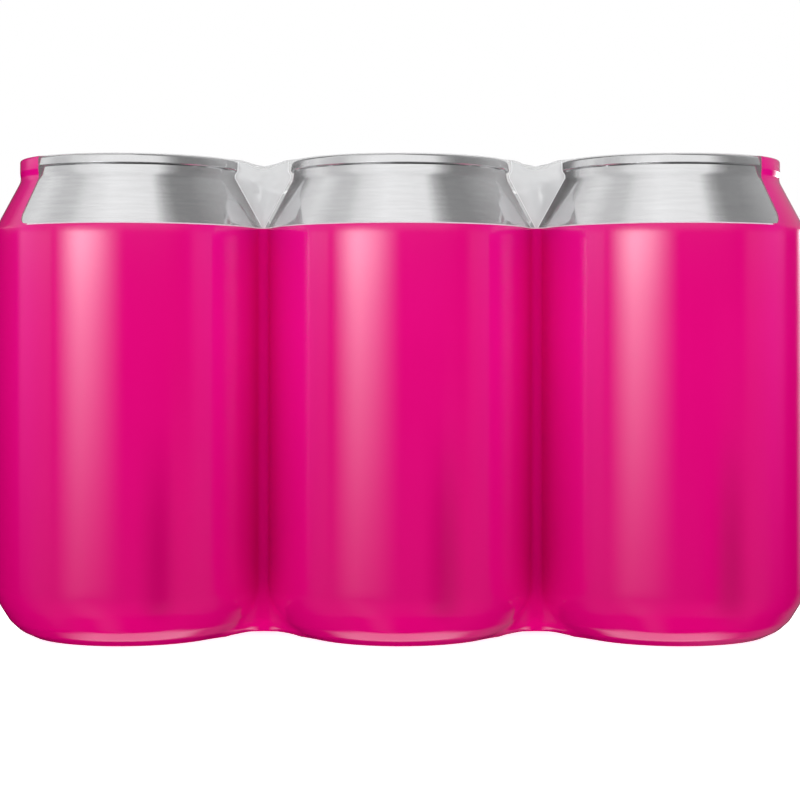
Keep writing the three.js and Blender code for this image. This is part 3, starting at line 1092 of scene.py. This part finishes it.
for row in range(ROWS):
    for column in range(COLUMNS):
        label = f"{'front' if row == 0 else 'back'}_{column + 1}"
        can_x = column * PITCH - END_X
        can_y = (row - 0.5) * PITCH
        tab_angle = math.radians(TAB_TURN[row * COLUMNS + column])
        can = build_can(f"can_body_{label}", can_x, can_y)
        lid = build_lid(f"lid_end_{label}", can_x, can_y, tab_angle)
        tab = build_tab(f"pull_tab_{label}", can_x, can_y, tab_angle, TAB_SHAPE)
        for piece, node, slot in (
            (can, "can", "can_print"),
            (lid, "lid", "lid_aluminium"),
            (tab, "tab", "tab_aluminium"),
        ):
            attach(piece, "root")
            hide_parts(f"{node}_{label}")


# The studio

# Upright soft boxes: the azimuths between which each rises and falls, and its glow. They are the key
# box, the one behind, the broad weak one further left and the narrow one at the right
SOFT_BOXES = [
    ((-62, -34, -38, 3), 10.6),
    ((126, 148, 150, 176), 7.0),
    ((-104, -94, -66, -58), 0.9),
    ((54, 66, 98, 112), 0.42),
]

# The boxes dim downwards over this span of elevations, and end where the ceiling starts
LOW_SPAN = (-10.0, 10.0)
LOW_GREYS = [
    (0.0, 0.03),
    (0.15, 0.07),
    (0.275, 0.16),
    (0.42, 0.345),
    (0.56, 0.62),
    (0.62, 1.0),
    (0.66, 1.8),
    (0.8, 2.2),
]
LOW_END = (3.4, 4.3)
CEILING_START = (3.6, 5.2)

# A strip below, in front of the pack
STRIP_PITCHES = (-4, 4, 24, 36)
STRIP_SIDES = (0.25, 0.5)
STRIP_GLOW = 2.2

# The ceiling's brightness by azimuth
CEILING_GREYS = [
    (-180, 0.25),
    (-152, 0.04),
    (-134, 0.1),
    (-122, 0.8),
    (-100, 1.0),
    (-80, 0.72),
    (-64, 0.75),
    (-52, 1.0),
    (-20, 1.22),
    (36, 1.12),
    (50, 0.5),
    (62, 0.23),
    (84, 0.2),
    (100, 0.28),
    (124, 0.4),
    (140, 0.45),
    (180, 0.25),
]

# Each fill lamp's azimuth, elevation, size and power
LAMPS = {
    "fill_front_low": (0, -32, 1.5, 10),
    "fill_front_high": (0, 32, 1.5, 9.6),
    "fill_left": (-60, -30, 1.5, 21.5),
    "fill_right": (60, -30, 1.5, 21),
    "fill_back": (180, 32, 1.5, 21),
    "fill_back_left": (-125, 28, 1.5, 15),
    "fill_back_right": (125, 28, 1.5, 15),
    "fill_top": (0, 88, 1.4, 12),
}
LAMP_DISTANCE = 1.6
LAMP_AIM = (0, 0, 0.06)

FLOOR_HALF_SIZE = 6000.0
FLOOR_GREYS = ((0.9,) * 3, (0.92,) * 3)
FLOOR_ROUGHNESS = 0.9
FLOOR_GLOW = 0.9

CAMERA_LENS = 89.9
CAMERA_SENSOR = 36.0
CAMERA_SHIFT = -57.5 / 800
CAMERA_PLACE = (0.0, -0.5285, 0.0718)


def studio_world():
    """A dark studio with a tall soft box to the left of the camera, a broad weak one further left, a
    narrow one at the right, one behind, a strip below and a bright ceiling. The camera sees plain
    white behind the pack."""
    world = bpy.data.worlds.new("studio")
    bpy.context.scene.world = world
    world.use_nodes = True
    nodes = Nodes(world.node_tree)
    output = nodes.add("ShaderNodeOutputWorld")
    way = nodes.add("ShaderNodeSeparateXYZ")
    nodes.link(nodes.add("ShaderNodeTexCoord").outputs["Generated"], way.inputs[0])
    x, y, z = way.outputs
    azimuth = nodes.maths("DEGREES", nodes.maths("ARCTAN2", x, nodes.product(y, -1.0)))
    height = nodes.maths("DEGREES", nodes.maths("ARCSINE", z))

    low_stops = [(position, (grey,) * 3) for position, grey in LOW_GREYS]
    low_fade = nodes.colours(nodes.mapped(height, *LOW_SPAN, smooth=False), low_stops)
    low = nodes.product(low_fade, nodes.falling(height, *LOW_END))
    boxes = [nodes.product(nodes.band(azimuth, *sides), glow) for sides, glow in SOFT_BOXES]
    walls = boxes[0]
    for box in boxes[1:]:
        walls = nodes.maths("ADD", walls, box)
    walls = nodes.product(walls, low)

    ceiling_stops = [((a + 180) / 360, (grey,) * 3) for a, grey in CEILING_GREYS]
    ceiling = nodes.colours(nodes.mapped(azimuth, -180, 180, smooth=False), ceiling_stops)
    roof = nodes.product(ceiling, nodes.mapped(height, *CEILING_START))

    pitch = nodes.maths("DEGREES", nodes.maths("ARCTAN2", y, nodes.product(z, -1.0)))
    strip = nodes.band(pitch, *STRIP_PITCHES)
    strip = nodes.product(strip, nodes.falling(nodes.maths("ABSOLUTE", x), *STRIP_SIDES))
    under = nodes.product(strip, STRIP_GLOW)
    glow = nodes.maths("ADD", nodes.maths("ADD", walls, roof), under)

    seen = nodes.add("ShaderNodeLightPath").outputs["Is Camera Ray"]
    studio = nodes.add("ShaderNodeBackground")
    nodes.link(glow, studio.inputs["Strength"])
    plain = nodes.add("ShaderNodeBackground")
    plain.inputs["Strength"].default_value = 1.0
    plain.inputs["Color"].default_value = (1.0, 1.0, 1.0, 1.0)
    mix = nodes.add("ShaderNodeMixShader")
    nodes.link(seen, mix.inputs[0])
    nodes.link(studio.outputs[0], mix.inputs[1])
    nodes.link(plain.outputs[0], mix.inputs[2])
    nodes.link(mix.outputs[0], output.inputs["Surface"])
    world.cycles_visibility.diffuse = False


def add_light(name, azimuth, elevation, size, power):
    """A large square lamp that fills the pack's colour. It is left out of the mirrored light, and it
    stands well above or below the heights that the pack mirrors to the camera."""
    light = bpy.data.lights.new(name, "AREA")
    light.shape = "SQUARE"
    light.size = size
    light.energy = power
    lamp = bpy.data.objects.new(name, light)
    bpy.context.scene.collection.objects.link(lamp)
    a = math.radians(azimuth)
    e = math.radians(elevation)
    way = np.array([math.sin(a) * math.cos(e), -math.cos(a) * math.cos(e), math.sin(e)])
    lamp.location = way * LAMP_DISTANCE + LAMP_AIM
    lamp.rotation_euler = Vector(-way).to_track_quat("-Z", "Y").to_euler()
    lamp.visible_glossy = False
    lamp.visible_camera = False


def build_stage():
    """A plain white floor that casts nothing onto the pack and isn't mirrored in it."""
    size = FLOOR_HALF_SIZE
    corners = [(-size, -size, 0), (size, -size, 0), (size, size, 0), (-size, size, 0)]
    material, nodes, output, place, shader = new_material("floor")
    shade = nodes.noise(place, scale=3.0)
    nodes.link(nodes.speckle(shade, FLOOR_GREYS), shader.inputs["Base Color"])
    shader.inputs["Roughness"].default_value = FLOOR_ROUGHNESS
    shader.inputs["Emission Color"].default_value = (1.0, 1.0, 1.0, 1.0)
    shader.inputs["Emission Strength"].default_value = FLOOR_GLOW
    nodes.link(shader.outputs[0], output.inputs["Surface"])
    floor = make_object("floor", corners, [[0, 1, 2, 3]], [material])
    floor.visible_glossy = False
    floor.visible_diffuse = False
    floor.visible_shadow = False


def build_camera():
    data = bpy.data.cameras.new("camera")
    data.lens = CAMERA_LENS
    data.sensor_width = CAMERA_SENSOR
    data.shift_y = CAMERA_SHIFT
    camera = bpy.data.objects.new("camera", data)
    bpy.context.scene.collection.objects.link(camera)
    camera.location = CAMERA_PLACE
    camera.rotation_euler = (math.radians(90), 0, 0)
    bpy.context.scene.camera = camera


studio_world()
for lamp_name, settings in LAMPS.items():
    add_light(lamp_name, *settings)
build_stage()
build_camera()
bpy.context.scene.view_settings.view_transform = "Standard"
